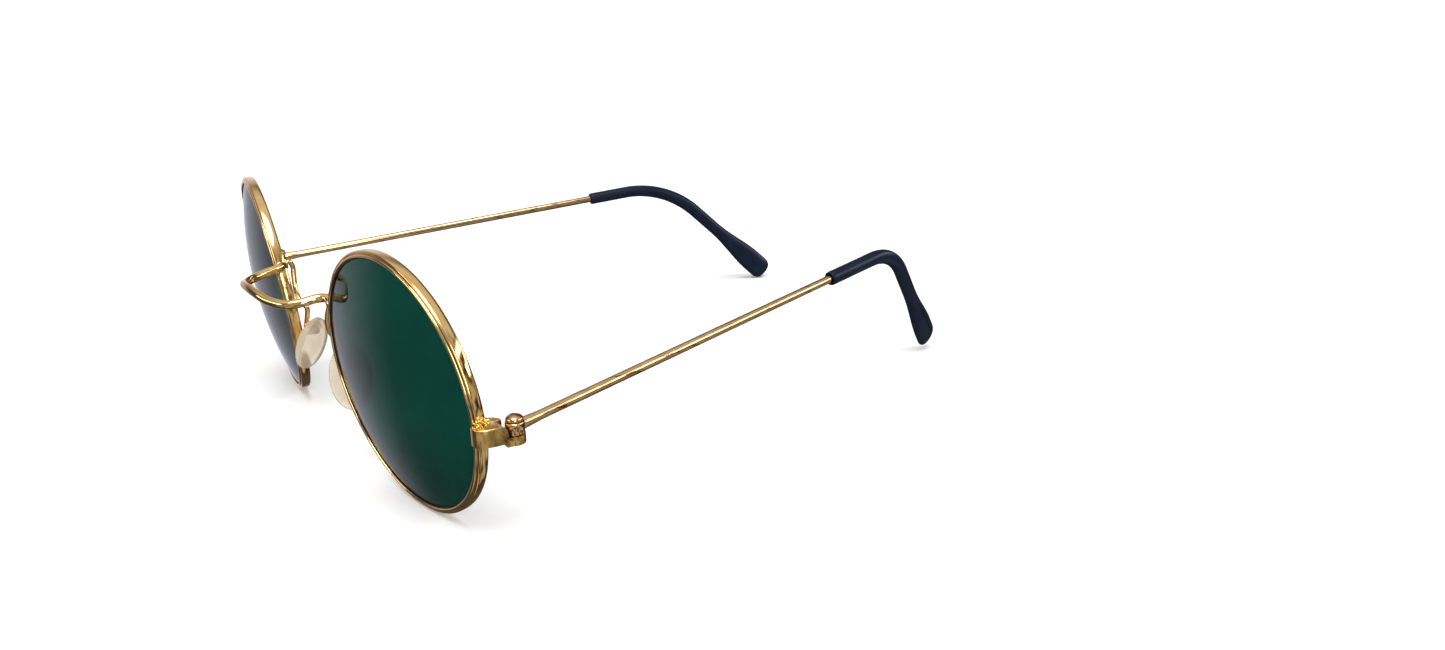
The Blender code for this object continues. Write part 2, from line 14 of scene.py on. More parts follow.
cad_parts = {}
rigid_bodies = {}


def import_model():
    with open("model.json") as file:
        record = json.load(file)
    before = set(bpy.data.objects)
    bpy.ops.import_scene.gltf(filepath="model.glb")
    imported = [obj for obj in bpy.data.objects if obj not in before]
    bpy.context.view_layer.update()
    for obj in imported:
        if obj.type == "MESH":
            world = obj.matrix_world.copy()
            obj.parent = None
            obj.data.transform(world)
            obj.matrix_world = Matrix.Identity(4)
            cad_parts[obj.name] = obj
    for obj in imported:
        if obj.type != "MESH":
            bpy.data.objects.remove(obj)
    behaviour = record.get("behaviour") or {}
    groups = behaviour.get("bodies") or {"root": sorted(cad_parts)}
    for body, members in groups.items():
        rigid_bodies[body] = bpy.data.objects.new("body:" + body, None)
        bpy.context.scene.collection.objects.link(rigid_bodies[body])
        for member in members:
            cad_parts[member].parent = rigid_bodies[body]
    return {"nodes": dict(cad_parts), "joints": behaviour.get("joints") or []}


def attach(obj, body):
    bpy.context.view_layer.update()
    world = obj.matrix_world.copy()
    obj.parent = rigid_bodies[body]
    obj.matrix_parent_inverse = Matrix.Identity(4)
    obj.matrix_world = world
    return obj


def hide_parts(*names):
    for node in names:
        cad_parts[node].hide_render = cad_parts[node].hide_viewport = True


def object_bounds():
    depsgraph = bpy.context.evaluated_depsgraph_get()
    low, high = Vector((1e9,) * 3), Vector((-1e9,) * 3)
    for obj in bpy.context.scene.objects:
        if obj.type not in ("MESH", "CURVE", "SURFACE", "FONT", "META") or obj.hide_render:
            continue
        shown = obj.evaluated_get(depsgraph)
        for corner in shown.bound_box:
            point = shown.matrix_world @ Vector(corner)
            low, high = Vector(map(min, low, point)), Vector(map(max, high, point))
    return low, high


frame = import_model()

CAD_BOX = [list(corner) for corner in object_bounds()]

# Driving dimensions, the same as the CAD's, in millimetres and degrees.
LENS_OPENING_RADIUS = 23.0
LENS_SPACING = 75.2
RIM_WIDTH = 1.2
RIM_DEPTH = 2.35
RIM_TILT = 4.7
FACE_WRAP = 7.9
LENS_THICKNESS = 1.6
LENS_CURVE_RADIUS = 82.0
WIRE_RADIUS = 0.85
HINGE_X = 63.2
HINGE_Y = 9.5
KNUCKLE_RADIUS = 1.65
STRAP_BOTTOM = 20.9
STRAP_TOP = 24.0
LEAF_BOTTOM = 20.15
LEAF_TOP = 21.75
EYE_HEIGHT = 2.1
TEMPLE_Z = 22.9
TEMPLE_RISE = 3.8
TOE_IN = 9.0
TIP_RADIUS = 1.5
PADDLE_HALF_WIDTH = 3.1
SIDES = ((1, "left"), (-1, "right"))
TEMPLE_BENDS = {
    "left": {"rest": 10.0, "wire": 81.0, "run": 14.7, "radius": 14.5, "angle": 56.6, "shaft": 27.0},
    "right": {"rest": 11.5, "wire": 80.2, "run": 10.6, "radius": 26.4, "angle": 48.1, "shaft": 28.8},
}

JOINTS = {joint["name"]: joint for joint in frame["joints"]}
FRONT_Y = JOINTS["temple_left_fold"]["pos_m"][1] * 1000.0 - HINGE_Y
FRONT = Matrix.Scale(0.001, 4) @ Matrix.Translation((0.0, FRONT_Y, 0.0))


# Shapes. They are built in millimetres, and finish_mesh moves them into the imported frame.

def finish_mesh(name, shape, material, body, nodes=(), place=FRONT, smooth=35.0):
    """Turn a bmesh in millimetres into a piece that rides on a body."""
    bmesh.ops.transform(shape, matrix=place, verts=shape.verts)
    bmesh.ops.recalc_face_normals(shape, faces=shape.faces)
    mesh = bpy.data.meshes.new(name)
    shape.to_mesh(mesh)
    shape.free()
    mesh.shade_smooth()
    if smooth < 180.0:
        mesh.set_sharp_from_angle(angle=math.radians(smooth))
    mesh.materials.append(material)
    piece = bpy.data.objects.new(name, mesh)
    bpy.context.scene.collection.objects.link(piece)
    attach(piece, body)
    if nodes:
        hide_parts(*nodes)
    return piece


def catmull(knots, per_span):
    """Points on a smooth curve through the knots."""
    spots = [Vector(knot) for knot in knots]
    spots = [2 * spots[0] - spots[1]] + spots + [2 * spots[-1] - spots[-2]]
    path = []
    for a, b, c, d in zip(spots, spots[1:], spots[2:], spots[3:]):
        for step in range(per_span):
            t = step / per_span
            path.append(0.5 * (2 * b + (c - a) * t + (2 * a - 5 * b + 4 * c - d) * t * t
                               + (3 * b - a - 3 * c + d) * t ** 3))
    path.append(spots[-2])
    return path


def headings(path):
    """The direction of travel at each point of a path."""
    result = []
    for index in range(len(path)):
        before = path[max(index - 1, 0)]
        after = path[min(index + 1, len(path) - 1)]
        result.append((after - before).normalized())
    return result


def sweep(shape, path, sizes, sides=24, across=None, directions=None):
    """A closed tube along path. sizes gives (half across, half upward) at each point.

    With across, every ring is turned to that way; without it, each follows from the last.
    directions are the ways the rings face, where the path's own headings won't do.
    """
    rings = []
    directions = directions or headings(path)
    guide = across or directions[0].orthogonal().normalized()
    for place, heading, (wide, tall) in zip(path, directions, sizes):
        side = (guide - guide.dot(heading) * heading).normalized()
        if across is None:
            guide = side
        upward = heading.cross(side)
        ring = []
        for index in range(sides):
            angle = 2.0 * math.pi * index / sides
            spot = place + side * wide * math.cos(angle) + upward * tall * math.sin(angle)
            ring.append(shape.verts.new(spot))
        rings.append(ring)
    for near, far in zip(rings, rings[1:]):
        for index in range(sides):
            following = (index + 1) % sides
            shape.faces.new((near[index], near[following], far[following], far[index]))
    shape.faces.new(rings[0])
    shape.faces.new(rings[-1])


def turned(shape, profile, steps, closed=False):
    """Turn (radius, height) points about Z. A point at radius 0 closes the shape."""
    rings = []
    for radius, height in profile:
        if radius < 1e-6:
            rings.append([shape.verts.new((0.0, 0.0, height))])
            continue
        ring = []
        for index in range(steps):
            angle = 2.0 * math.pi * index / steps
            ring.append(shape.verts.new((radius * math.cos(angle), radius * math.sin(angle), height)))
        rings.append(ring)
    pairs = list(zip(rings, rings[1:]))
    if closed:
        pairs.append((rings[-1], rings[0]))
    for near, far in pairs:
        for index in range(steps):
            following = (index + 1) % steps
            corners = [near[index % len(near)], near[following % len(near)],
                       far[following % len(far)], far[index % len(far)]]
            kept = []
            for corner in corners:
                if corner not in kept:
                    kept.append(corner)
            shape.faces.new(kept)


def plate(shape, outline, low, high, soften=0.12):
    """A flat piece with softened edges, from an outline of (x, y) points."""
    top = [shape.verts.new((x, y, high)) for x, y in outline]
    face = shape.faces.new(top)
    made = bmesh.ops.extrude_face_region(shape, geom=[face])
    moved = [item for item in made["geom"] if isinstance(item, bmesh.types.BMVert)]
    bmesh.ops.translate(shape, vec=(0.0, 0.0, low - high), verts=moved)
    bmesh.ops.recalc_face_normals(shape, faces=shape.faces)
    if soften:
        edges = [edge for edge in shape.edges if abs(edge.verts[0].co.z - edge.verts[1].co.z) < 1e-6]
        bmesh.ops.bevel(shape, geom=edges, offset=soften, segments=3, profile=0.5, affect="EDGES",
                        clamp_overlap=True)


def arc(centre, radius, sides, start, turn):
    """Points on an arc that starts at start degrees and goes on for turn degrees."""
    points = []
    for index in range(sides + 1):
        angle = math.radians(start + turn * index / sides)
        points.append((centre[0] + radius * math.cos(angle), centre[1] + radius * math.sin(angle)))
    return points


def lumpy(shape, centre, size, seed, roughness=0.25):
    """A blob of solder: a ball pushed in and out by noise."""
    made = bmesh.ops.create_icosphere(shape, subdivisions=4, radius=1.0)
    offset = Vector((seed * 7.3, seed * 3.1, seed * 5.7))
    for corner in made["verts"]:
        swell = 1.0 + roughness * noise.noise(corner.co * 1.6 + offset)
        swell += 0.4 * roughness * noise.noise(corner.co * 4.5 + offset)
        corner.co = Vector(centre) + Vector((corner.co.x * size[0], corner.co.y * size[1],
                                             corner.co.z * size[2])) * swell


# Materials. Lengths in them are in metres.

# Painted shade in the crevice in front of each hinge: its colour, how ragged its edge is, and the
# distances in metres at which it is full and gone.
CREVICE_SHADE_COLOUR = (0.10, 0.045, 0.018)
CREVICE_SHADE_RAGGEDNESS = 0.0022
CREVICE_SHADE_FULL = 0.0018
CREVICE_SHADE_GONE = 0.0031


class Nodes:
    """Short calls for building a node tree."""

    def __init__(self, name):
        self.material = bpy.data.materials.new(name)
        self.material.use_nodes = True
        self.tree = self.material.node_tree
        self.shader = self.tree.nodes["Principled BSDF"]
        self.place = self.node("ShaderNodeTexCoord").outputs["Object"]

    def node(self, kind, **settings):
        made = self.tree.nodes.new(kind)
        for key, value in settings.items():
            setattr(made, key, value)
        return made

    def link(self, source, target):
        self.tree.links.new(source, target)

    def noise(self, scale, detail=3.0, rough=0.55, vector=None):
        made = self.node("ShaderNodeTexNoise")
        made.inputs["Scale"].default_value = scale
        made.inputs["Detail"].default_value = detail
        made.inputs["Roughness"].default_value = rough
        self.link(vector or self.place, made.inputs["Vector"])
        return made.outputs["Fac"]

    def stretched(self, scale):
        made = self.node("ShaderNodeMapping")
        made.inputs["Scale"].default_value = scale
        self.link(self.place, made.inputs["Vector"])
        return made.outputs["Vector"]

    def ramp(self, source, stops):
        made = self.node("ShaderNodeValToRGB")
        ramp = made.color_ramp
        while len(ramp.elements) < len(stops):
            ramp.elements.new(0.5)
        for element, (position, colour) in zip(ramp.elements, stops):
            element.position = position
            element.color = (*colour, 1.0)
        self.link(source, made.inputs["Fac"])
        return made.outputs["Color"]

    def mix(self, factor, first, second):
        made = self.node("ShaderNodeMix", data_type="RGBA")
        sockets = (made.inputs[0], made.inputs[6], made.inputs[7])
        for socket, value in zip(sockets, (factor, first, second)):
            if isinstance(value, bpy.types.NodeSocket):
                self.link(value, socket)
            elif isinstance(value, tuple):
                socket.default_value = (*value, 1.0)
            else:
                socket.default_value = value
        return made.outputs[2]

    def spread(self, source, low, high):
        made = self.node("ShaderNodeMapRange")
        made.inputs["To Min"].default_value = low
        made.inputs["To Max"].default_value = high
        self.link(source, made.inputs["Value"])
        return made.outputs["Result"]

    def painted_crevice_shade(self):
        """Painted shade: 1 in the crevice in front of either hinge, fading to 0 along a ragged edge."""
        folded = self.node("ShaderNodeVectorMath", operation="ABSOLUTE")
        self.link(self.place, folded.inputs[0])
        away = self.node("ShaderNodeVectorMath", operation="DISTANCE")
        self.link(folded.outputs["Vector"], away.inputs[0])
        crevice = FRONT @ Vector((HINGE_X, HINGE_Y - 1.6, LEAF_TOP + 0.5))
        away.inputs[1].default_value = (crevice.x, abs(crevice.y), crevice.z)
        rag = self.node("ShaderNodeMath", operation="MULTIPLY_ADD")
        self.link(self.noise(900.0, 3.0), rag.inputs[0])
        rag.inputs[1].default_value = CREVICE_SHADE_RAGGEDNESS
        self.link(away.outputs["Value"], rag.inputs[2])
        fade = self.node("ShaderNodeMapRange")
        fade.inputs["From Min"].default_value = CREVICE_SHADE_FULL
        fade.inputs["From Max"].default_value = CREVICE_SHADE_GONE
        fade.inputs["To Min"].default_value = 1.0
        fade.inputs["To Max"].default_value = 0.0
        self.link(rag.outputs["Value"], fade.inputs["Value"])
        return fade.outputs["Result"]

    def bump(self, source, strength, distance):
        made = self.node("ShaderNodeBump")
        made.inputs["Strength"].default_value = strength
        made.inputs["Distance"].default_value = distance
        self.link(source, made.inputs["Height"])
        self.link(made.outputs["Normal"], self.shader.inputs["Normal"])

    def set(self, **values):
        for key, value in values.items():
            self.shader.inputs[key.replace("_", " ")].default_value = value


def gold(name, base, deep, tarnish, wear, rough=0.09, dents=0.14, crevice_shade=False, drawn=1.0):
    """Thin polished gold plate: slight colour drift, tiny tarnish spots and hand-bent ripples.

    The colour drifts between base and deep, and the spots are of the colour tarnish. wear is
    the noise level above which they show, so lower is more worn. rough is the middle of the
    roughness, and dents is how strong the ripples are. crevice_shade paints shade into the
    crevice at the hinges, darkening it. drawn under 1 stretches the spots along the temples.
    """
    made = Nodes(name)
    drift = made.ramp(made.noise(260.0, 2.0), [(0.35, deep), (0.65, base)])
    along = made.stretched((1.0, drawn, 1.0))
    specks = made.ramp(made.noise(1500.0, 4.0, 0.65, along),
                       [(wear, (0.0, 0.0, 0.0)), (wear + 0.06, (1.0, 1.0, 1.0))])
    colour = made.mix(specks, drift, tarnish)
    # Painted shade: the colour darkens in the crevice in front of the hinges.
    if crevice_shade:
        colour = made.mix(made.painted_crevice_shade(), colour, CREVICE_SHADE_COLOUR)
    made.link(colour, made.shader.inputs["Base Color"])
    smears = made.noise(500.0, 5.0, 0.7)
    made.link(made.spread(smears, rough - 0.04, rough + 0.07), made.shader.inputs["Roughness"])
    made.bump(made.noise(420.0, 2.0, 0.4), dents, 0.00012)
    made.set(Metallic=1.0)
    return made.material


def lens_glass():
    """Dark green tinted glass with a faint bloom of smears."""
    made = Nodes("green_lens_glass")
    tint = made.ramp(made.noise(60.0, 2.0), [(0.3, (0.001, 0.034, 0.024)), (0.7, (0.002, 0.041, 0.029))])
    made.link(tint, made.shader.inputs["Base Color"])
    smears = made.noise(220.0, 5.0, 0.6, made.stretched((1.0, 1.0, 2.5)))
    made.link(made.spread(smears, 0.0, 0.05), made.shader.inputs["Roughness"])
    made.set(IOR=1.28, Transmission_Weight=1.0)
    return made.material


def tip_plastic():
    """Blue-black moulded sleeve, satin, with a faint grain and handling marks."""
    made = Nodes("tip_blue_black")
    tint = made.ramp(made.noise(180.0, 3.0), [(0.3, (0.001, 0.004, 0.013)), (0.7, (0.003, 0.008, 0.023))])
    made.link(tint, made.shader.inputs["Base Color"])
    made.link(made.spread(made.noise(700.0, 4.0), 0.26, 0.40), made.shader.inputs["Roughness"])
    made.bump(made.noise(2600.0, 2.0), 0.12, 0.00006)
    made.set(Specular_IOR_Level=0.17)
    return made.material


def pad_silicone():
    """Clear silicone, a little yellowed, with a soft cloudy core."""
    made = Nodes("pad_clear_silicone")
    made.link(made.ramp(made.noise(300.0, 3.0), [(0.3, (0.66, 0.56, 0.42)), (0.7, (0.80, 0.72, 0.60))]),
              made.shader.inputs["Base Color"])
    made.link(made.spread(made.noise(500.0, 2.0), 0.08, 0.22), made.shader.inputs["Roughness"])
    made.bump(made.noise(700.0, 1.0), 0.06, 0.00006)
    made.set(IOR=1.34, Transmission_Weight=0.8)
    return made.material


def painted_edge_shade():
    """The ground, unpolished edge of the lens, coloured nearly black as painted shade where it meets the
    metal.
    """
    made = Nodes("lens_rim_painted_shade")
    tint = made.ramp(made.noise(900.0, 3.0), [(0.3, (0.002, 0.004, 0.004)), (0.7, (0.008, 0.012, 0.011))])
    made.link(tint, made.shader.inputs["Base Color"])
    made.link(made.spread(made.noise(1500.0, 2.0), 0.5, 0.8), made.shader.inputs["Roughness"])
    return made.material


def floor_card():
    made = Nodes("pale_floor")
    made.link(made.ramp(made.noise(9.0, 2.0), [(0.3, (0.90, 0.90, 0.90)), (0.7, (0.93, 0.93, 0.93))]),
              made.shader.inputs["Base Color"])
    made.set(Roughness=0.9, Specular_IOR_Level=0.1)
    return made.material


# Each gold: its colour, the deeper colour it drifts to, its tarnish, wear, roughness and dents.
GOLD = gold("gold_plate_polished", (0.84, 0.58, 0.26), (0.74, 0.46, 0.17), (0.22, 0.10, 0.035), 0.68)
GOLD_ROSE = gold("gold_plate_temple", (0.70, 0.48, 0.25), (0.56, 0.36, 0.18), (0.14, 0.07, 0.03),
                 0.58, 0.09, 0.05, drawn=0.06)
# The hinge gold carries painted shade in the crevice in front of each hinge.
GOLD_WORN = gold("gold_plate_hinge", (0.84, 0.58, 0.22), (0.66, 0.40, 0.12), (0.10, 0.045, 0.02),
                 0.62, 0.20, 0.5, crevice_shade=True)
GOLD_DARK = gold("gold_plate_screw", (0.62, 0.38, 0.20), (0.42, 0.23, 0.11), (0.06, 0.03, 0.02),
                 0.58, 0.16, 0.4)
SOLDER = gold("gold_solder", (0.90, 0.62, 0.18), (0.60, 0.36, 0.07), (0.06, 0.025, 0.01),
              0.60, 0.16, 0.8)
SCREW = gold("screw_steel_washed", (0.70, 0.58, 0.42), (0.50, 0.38, 0.24), (0.08, 0.05, 0.03),
             0.6, 0.24, 0.4)
GLASS = lens_glass()
EDGE_SHADE = painted_edge_shade()
NAVY = tip_plastic()
CLEAR = pad_silicone()


# Rims and lenses

RIM_STEPS = 180
LENS_STEPS = 120
LENS_RINGS = 14


def lens_centre_height():
    """The height at which the tilted rim's lowest edge is on the floor."""
    tilt = math.radians(RIM_TILT)
    outer = LENS_OPENING_RADIUS + RIM_WIDTH
    return outer * math.cos(tilt) - 0.5 * math.sin(tilt)


def lens_frame(side):
    """From a shape turned about Z, front upward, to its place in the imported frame."""
    place = Matrix.Translation((side * LENS_SPACING / 2.0, 0.0, lens_centre_height()))
    place = place @ Matrix.Rotation(math.radians(RIM_TILT), 4, "X")
    place = place @ Matrix.Rotation(side * math.radians(FACE_WRAP), 4, "Z")
    place = place @ Matrix.Translation((0.0, RIM_DEPTH / 2.0, 0.0))
    return FRONT @ place @ Matrix.Rotation(math.radians(90.0), 4, "X")


def rim_profile():
    """The eyewire's section: front lip, fine groove, rounded outer side, and the lens groove inside."""
    inner = LENS_OPENING_RADIUS
    outer = inner + RIM_WIDTH
    half = RIM_DEPTH / 2.0
    lip = [(inner, half - 0.26), (inner + 0.04, half - 0.13), (inner + 0.11, half - 0.04),
           (inner + 0.22, half), (inner + 0.34, half - 0.01), (inner + 0.45, half - 0.06),
           (inner + 0.54, half - 0.14), (inner + 0.60, half - 0.25), (inner + 0.63, half - 0.42)]
    bulge = [(inner + 0.72, half - 0.46), (inner + 0.80, half - 0.34), (outer - 0.26, half - 0.34),
             (outer - 0.12, half - 0.44), (outer - 0.03, half - 0.62), (outer, half - 0.85), (outer, 0.0),
             (outer - 0.02, 0.62 - half), (outer - 0.1, 0.32 - half), (outer - 0.24, 0.1 - half),
             (outer - 0.45, 0.0 - half)]
    inside = [(inner + 0.3, -half), (inner + 0.08, 0.08 - half), (inner, 0.22 - half), (inner, -0.55),
              (inner + 0.55, -0.15), (inner + 0.55, 0.15), (inner, 0.55)]
    return lip + bulge + inside


def lens_profile():
    """The dished lens: its front, the bevel that sits in the rim's groove, and its back."""
    edge = LENS_OPENING_RADIUS - 0.06
    half = LENS_THICKNESS / 2.0

    def dish(radius, curve):
        return math.sqrt(curve ** 2 - radius ** 2) - math.sqrt(curve ** 2 - edge ** 2)

    radii = [edge * index / LENS_RINGS for index in range(LENS_RINGS + 1)]
    front = [(radius, half + dish(radius, LENS_CURVE_RADIUS)) for radius in radii]
    back_curve = LENS_CURVE_RADIUS - LENS_THICKNESS
    back = [(radius, dish(radius, back_curve) - half) for radius in reversed(radii)]
    return front + [(edge + 0.45, 0.1), (edge + 0.45, -0.1)] + back


def make_rims_and_lenses():
    for side, label in SIDES:
        shape = bmesh.new()
        turned(shape, rim_profile(), RIM_STEPS, closed=True)
        finish_mesh("rim_eyewire_" + label, shape, GOLD, "front", ["rim_" + label],
                    lens_frame(side), 50.0)
        shape = bmesh.new()
        turned(shape, lens_profile(), LENS_STEPS)
        finish_mesh("lens_glass_" + label, shape, GLASS, "front", ["lens_" + label],
                    lens_frame(side), 30.0)
        # A thin ring at the lens's edge, coloured nearly black: painted shade where the lens meets the
        # rim's inner wall.
        shape = bmesh.new()
        edge = LENS_OPENING_RADIUS - 0.03
        turned(shape, [(edge, 0.98), (edge, 0.5), (edge - 0.13, 0.5), (edge - 0.16, 0.96)], RIM_STEPS,
               closed=True)
        finish_mesh("lens_rim_shade_ring_" + label, shape, EDGE_SHADE, "front", (), lens_frame(side), 30.0)


def rim_spot(side, angle, radius, depth):
    """A place on a rim: angle from the temple side, depth behind the lip."""
    turn = math.radians(angle)
    spot = Vector((side * radius * math.cos(turn), depth, radius * math.sin(turn)))
    spot = Matrix.Rotation(side * math.radians(FACE_WRAP), 3, "Z") @ spot
    spot.x += side * LENS_SPACING / 2.0
    spot = Matrix.Rotation(math.radians(RIM_TILT), 3, "X") @ spot
    spot.z += lens_centre_height()
    return spot


# Bridge, with its solder

BRIDGE_ANGLE = 155.8
BRIDGE_KNOTS = ((13.7, -2.75, 34.5), (12.45, -4.3, 34.5), (11.9, -7.0, 34.1), (10.4, -9.6, 33.9),
                (7.2, -11.6, 34.3), (3.6, -12.7, 35.1), (0.0, -13.1, 35.55))


def make_bridge():
    outer = LENS_OPENING_RADIUS + RIM_WIDTH
    half = [rim_spot(1, BRIDGE_ANGLE, outer - 0.25, RIM_DEPTH / 2.0)]
    half += [Vector(knot) for knot in BRIDGE_KNOTS]
    other = [Vector((-spot.x, spot.y, spot.z)) for spot in reversed(half[:-1])]
    path = catmull(half + other, 9)
    shape = bmesh.new()
    sweep(shape, path, [(WIRE_RADIUS, WIRE_RADIUS)] * len(path))
    finish_mesh("bridge_wire", shape, GOLD, "front", ["bridge"])
    shape = bmesh.new()
    for side, _ in SIDES:
        foot = rim_spot(side, BRIDGE_ANGLE, outer + 0.1, RIM_DEPTH / 2.0)
        lumpy(shape, foot, (0.95, 1.0, 1.05), 2.0 + side, 0.2)
    finish_mesh("bridge_solder", shape, GOLD, "front")


# End pieces, rim locks and hinges

SCREW_SLOT_SIZE = (3.6, 0.42, 0.8)
SCREW_SLOT_TURN = 25.0
LOCK_OUTLINE = ((59.3, 6.3), (59.5, 6.05), (61.2, 6.1), (61.25, 7.3), (61.3, 8.1), (60.6, 8.1),
                (59.6, 7.5), (59.3, 7.0))
LOCK_SPLIT = 22.2

# The solder where the strap meets the rim: each lump's place, outward, back and up, and its size.
SOLDER_LUMPS = ((0.0, 0.0, 0.1, 0.95), (0.55, -0.6, 0.0, 0.6), (-0.2, 0.9, -0.1, 0.7),
                (0.2, -0.2, 0.75, 0.62))


def end_piece_outline():
    """The left strap from above: its front, the hinge's knuckle, and the side along the rim."""
    knuckle = arc((HINGE_X, HINGE_Y), KNUCKLE_RADIUS, 40, -35.0, 210.0)
    front = catmull([(60.9, 3.2, 0), (60.95, 2.85, 0), (61.5, 2.65, 0), (62.5, 2.7, 0), (63.3, 3.1, 0),
                     (63.9, 4.0, 0), (64.3, 5.6, 0)], 4)
    inside = [(61.6, 7.2), (61.45, 5.8), (61.1, 4.4), (60.95, 3.6)]
    return [(spot.x, spot.y) for spot in front] + knuckle + inside


def subtract(piece, shape, place=FRONT):
    """Cut a bmesh in millimetres out of a piece, and leave a plain, smooth-shaded mesh."""
    mesh = bpy.data.meshes.new("cutter")
    bmesh.ops.transform(shape, matrix=place, verts=shape.verts)
    bmesh.ops.recalc_face_normals(shape, faces=shape.faces)
    shape.to_mesh(mesh)
    shape.free()
    cutter = bpy.data.objects.new("cutter", mesh)
    bpy.context.scene.collection.objects.link(cutter)
    cutter.parent = piece.parent
    step = piece.modifiers.new("cut", "BOOLEAN")
    step.operation = "DIFFERENCE"
    step.object = cutter
    step.solver = "EXACT"
    bpy.context.view_layer.update()
    result = bpy.data.meshes.new_from_object(piece.evaluated_get(bpy.context.evaluated_depsgraph_get()))
    piece.modifiers.clear()
    piece.data = result
    piece.data.shade_smooth()
    piece.data.set_sharp_from_angle(angle=math.radians(32.0))
    bpy.data.objects.remove(cutter, do_unlink=True)


def mirror_x(shape):
    bmesh.ops.scale(shape, vec=(-1.0, 1.0, 1.0), verts=shape.verts)


def make_end_piece(side, label):
    """The strap round the rim, cut down to the hinge's lower leaf where the temple's eye sits."""
    outline = end_piece_outline()
    shape = bmesh.new()
    plate(shape, outline, LEAF_BOTTOM, STRAP_TOP, 0.16)
    if side < 0:
        mirror_x(shape)
    piece = finish_mesh("end_piece_strap_" + label, shape, GOLD_WORN, "front",
                        ["end_piece_" + label], FRONT, 40.0)

    outer = LENS_OPENING_RADIUS + RIM_WIDTH + 0.01
    half = RIM_DEPTH / 2.0 + 0.01
    saddle = bmesh.new()
    inner = LENS_OPENING_RADIUS - 1.0
    turned(saddle, [(inner, half), (outer - 0.3, half), (outer, half - 0.4), (outer, 0.4 - half),
                    (outer - 0.3, -half), (inner, -half)], RIM_STEPS, closed=True)
    subtract(piece, saddle, lens_frame(side))

    above = STRAP_TOP + 1.0
    seat = bmesh.new()
    seat_radius = KNUCKLE_RADIUS + 0.1
    turned(seat, [(0.0, above), (seat_radius, above), (seat_radius, LEAF_TOP), (0.0, LEAF_TOP)], 48)
    bmesh.ops.translate(seat, vec=(side * HINGE_X, HINGE_Y, 0.0), verts=seat.verts)
    subtract(piece, seat)
    waist = catmull([(6.2, STRAP_TOP + 0.02, 0), (6.9, STRAP_TOP - 0.12, 0), (7.5, STRAP_TOP - 0.55, 0),
                     (7.75, LEAF_TOP + 0.8, 0), (7.8, LEAF_TOP, 0)], 4)
    over = [(spot.x, spot.y) for spot in waist] + [(12.0, LEAF_TOP), (12.0, above), (6.2, above)]
    under = [(0.0, 18.0), (HINGE_Y - 2.1, 18.0), (HINGE_Y - 2.0, STRAP_BOTTOM - 0.3),
             (HINGE_Y - 2.4, STRAP_BOTTOM), (0.0, STRAP_BOTTOM)]
    for cut in (over, under):
        block = bmesh.new()
        plate(block, cut, HINGE_X - 6.2, HINGE_X + 4.8, 0.0)
        for corner in block.verts:
            corner.co = Vector((side * corner.co.z, corner.co.x, corner.co.y))
        subtract(piece, block)


def make_hinge_screw(side, label):
    """A slotted dome over the temple's eye, and a plain end that shows under the leaf."""
    base = TEMPLE_Z + EYE_HEIGHT / 2.0 + 0.08
    rise = 1.08
    radius = 1.47
    profile = [(0.0, base + rise)]
    for index in range(1, 12):
        angle = math.radians(90.0 * index / 11)
        profile.append((radius * math.sin(angle), base + 0.2 + (rise - 0.2) * math.cos(angle)))
    tip = LEAF_BOTTOM - 0.34
    profile += [(radius - 0.05, base), (0.55, base), (0.55, tip + 0.2), (0.36, tip), (0.0, tip)]
    shape = bmesh.new()
    turned(shape, profile, 48)
    bmesh.ops.translate(shape, vec=(side * HINGE_X, HINGE_Y, 0.0), verts=shape.verts)
    piece = finish_mesh("hinge_screw_head_" + label, shape, GOLD_DARK, "front",
                        ["hinge_screw_" + label], FRONT, 40.0)
    slot = bmesh.new()
    bmesh.ops.create_cube(slot, size=1.0)
    bmesh.ops.scale(slot, vec=SCREW_SLOT_SIZE, verts=slot.verts)
    turn = Matrix.Rotation(math.radians(side * SCREW_SLOT_TURN), 3, "Z")
    bmesh.ops.rotate(slot, matrix=turn, verts=slot.verts)
    bmesh.ops.translate(slot, vec=(side * HINGE_X, HINGE_Y, base + rise), verts=slot.verts)
    subtract(piece, slot)


def make_rim_locks(side, label):
    """The two blocks that close the split rim, and the solder above them."""
    for name, low, high in (("upper", LOCK_SPLIT + 0.15, STRAP_TOP - 0.1),
                            ("lower", STRAP_BOTTOM, LOCK_SPLIT - 0.15)):
        shape = bmesh.new()
        plate(shape, list(LOCK_OUTLINE), low, high, 0.14)
        if side < 0:
            mirror_x(shape)
        finish_mesh("rim_lock_%s_block_%s" % (name, label), shape, GOLD_WORN, "front",
                    ["rim_lock_%s_%s" % (name, label)], FRONT, 40.0)
    shape = bmesh.new()
    top = rim_spot(side, 0.0, LENS_OPENING_RADIUS + RIM_WIDTH - 0.1, RIM_DEPTH * 0.55)
    top.z = STRAP_TOP + 0.15
    for index, (out, back, up, size) in enumerate(SOLDER_LUMPS):
        lumpy(shape, top + Vector((side * out, back, up)), (size, size, size * 0.85),
              index + 4.0 + side, 0.5)
    finish_mesh("end_piece_solder_" + label, shape, SOLDER, "front")


# Temples and tips, in the hinge's own frame: +Y runs along the open temple

TEMPLE_SPACING = 0.6
ACROSS = Vector((1.0, 0.0, 0.0))

# The sleeve's rolled mouth: how far each ring is inside the end, and its share of the radius.
TIP_MOUTH = ((0.9, 0.56), (0.3, 0.58), (0.06, 0.68), (0.0, 0.8), (0.08, 0.92), (0.3, 0.985))
TIP_ROUNDING = 2.6
TIP_ROUNDING_ANGLES = (8.0, 18.0, 28.0, 38.0, 48.0, 57.0, 65.0, 72.0, 78.0, 83.0, 87.0)


def hinge_frame(side, label):
    turn = Matrix.Rotation(side * math.radians(TEMPLE_BENDS[label]["rest"]), 4, "Z")
    return FRONT @ Matrix.Translation((side * HINGE_X, HINGE_Y, TEMPLE_Z)) @ turn


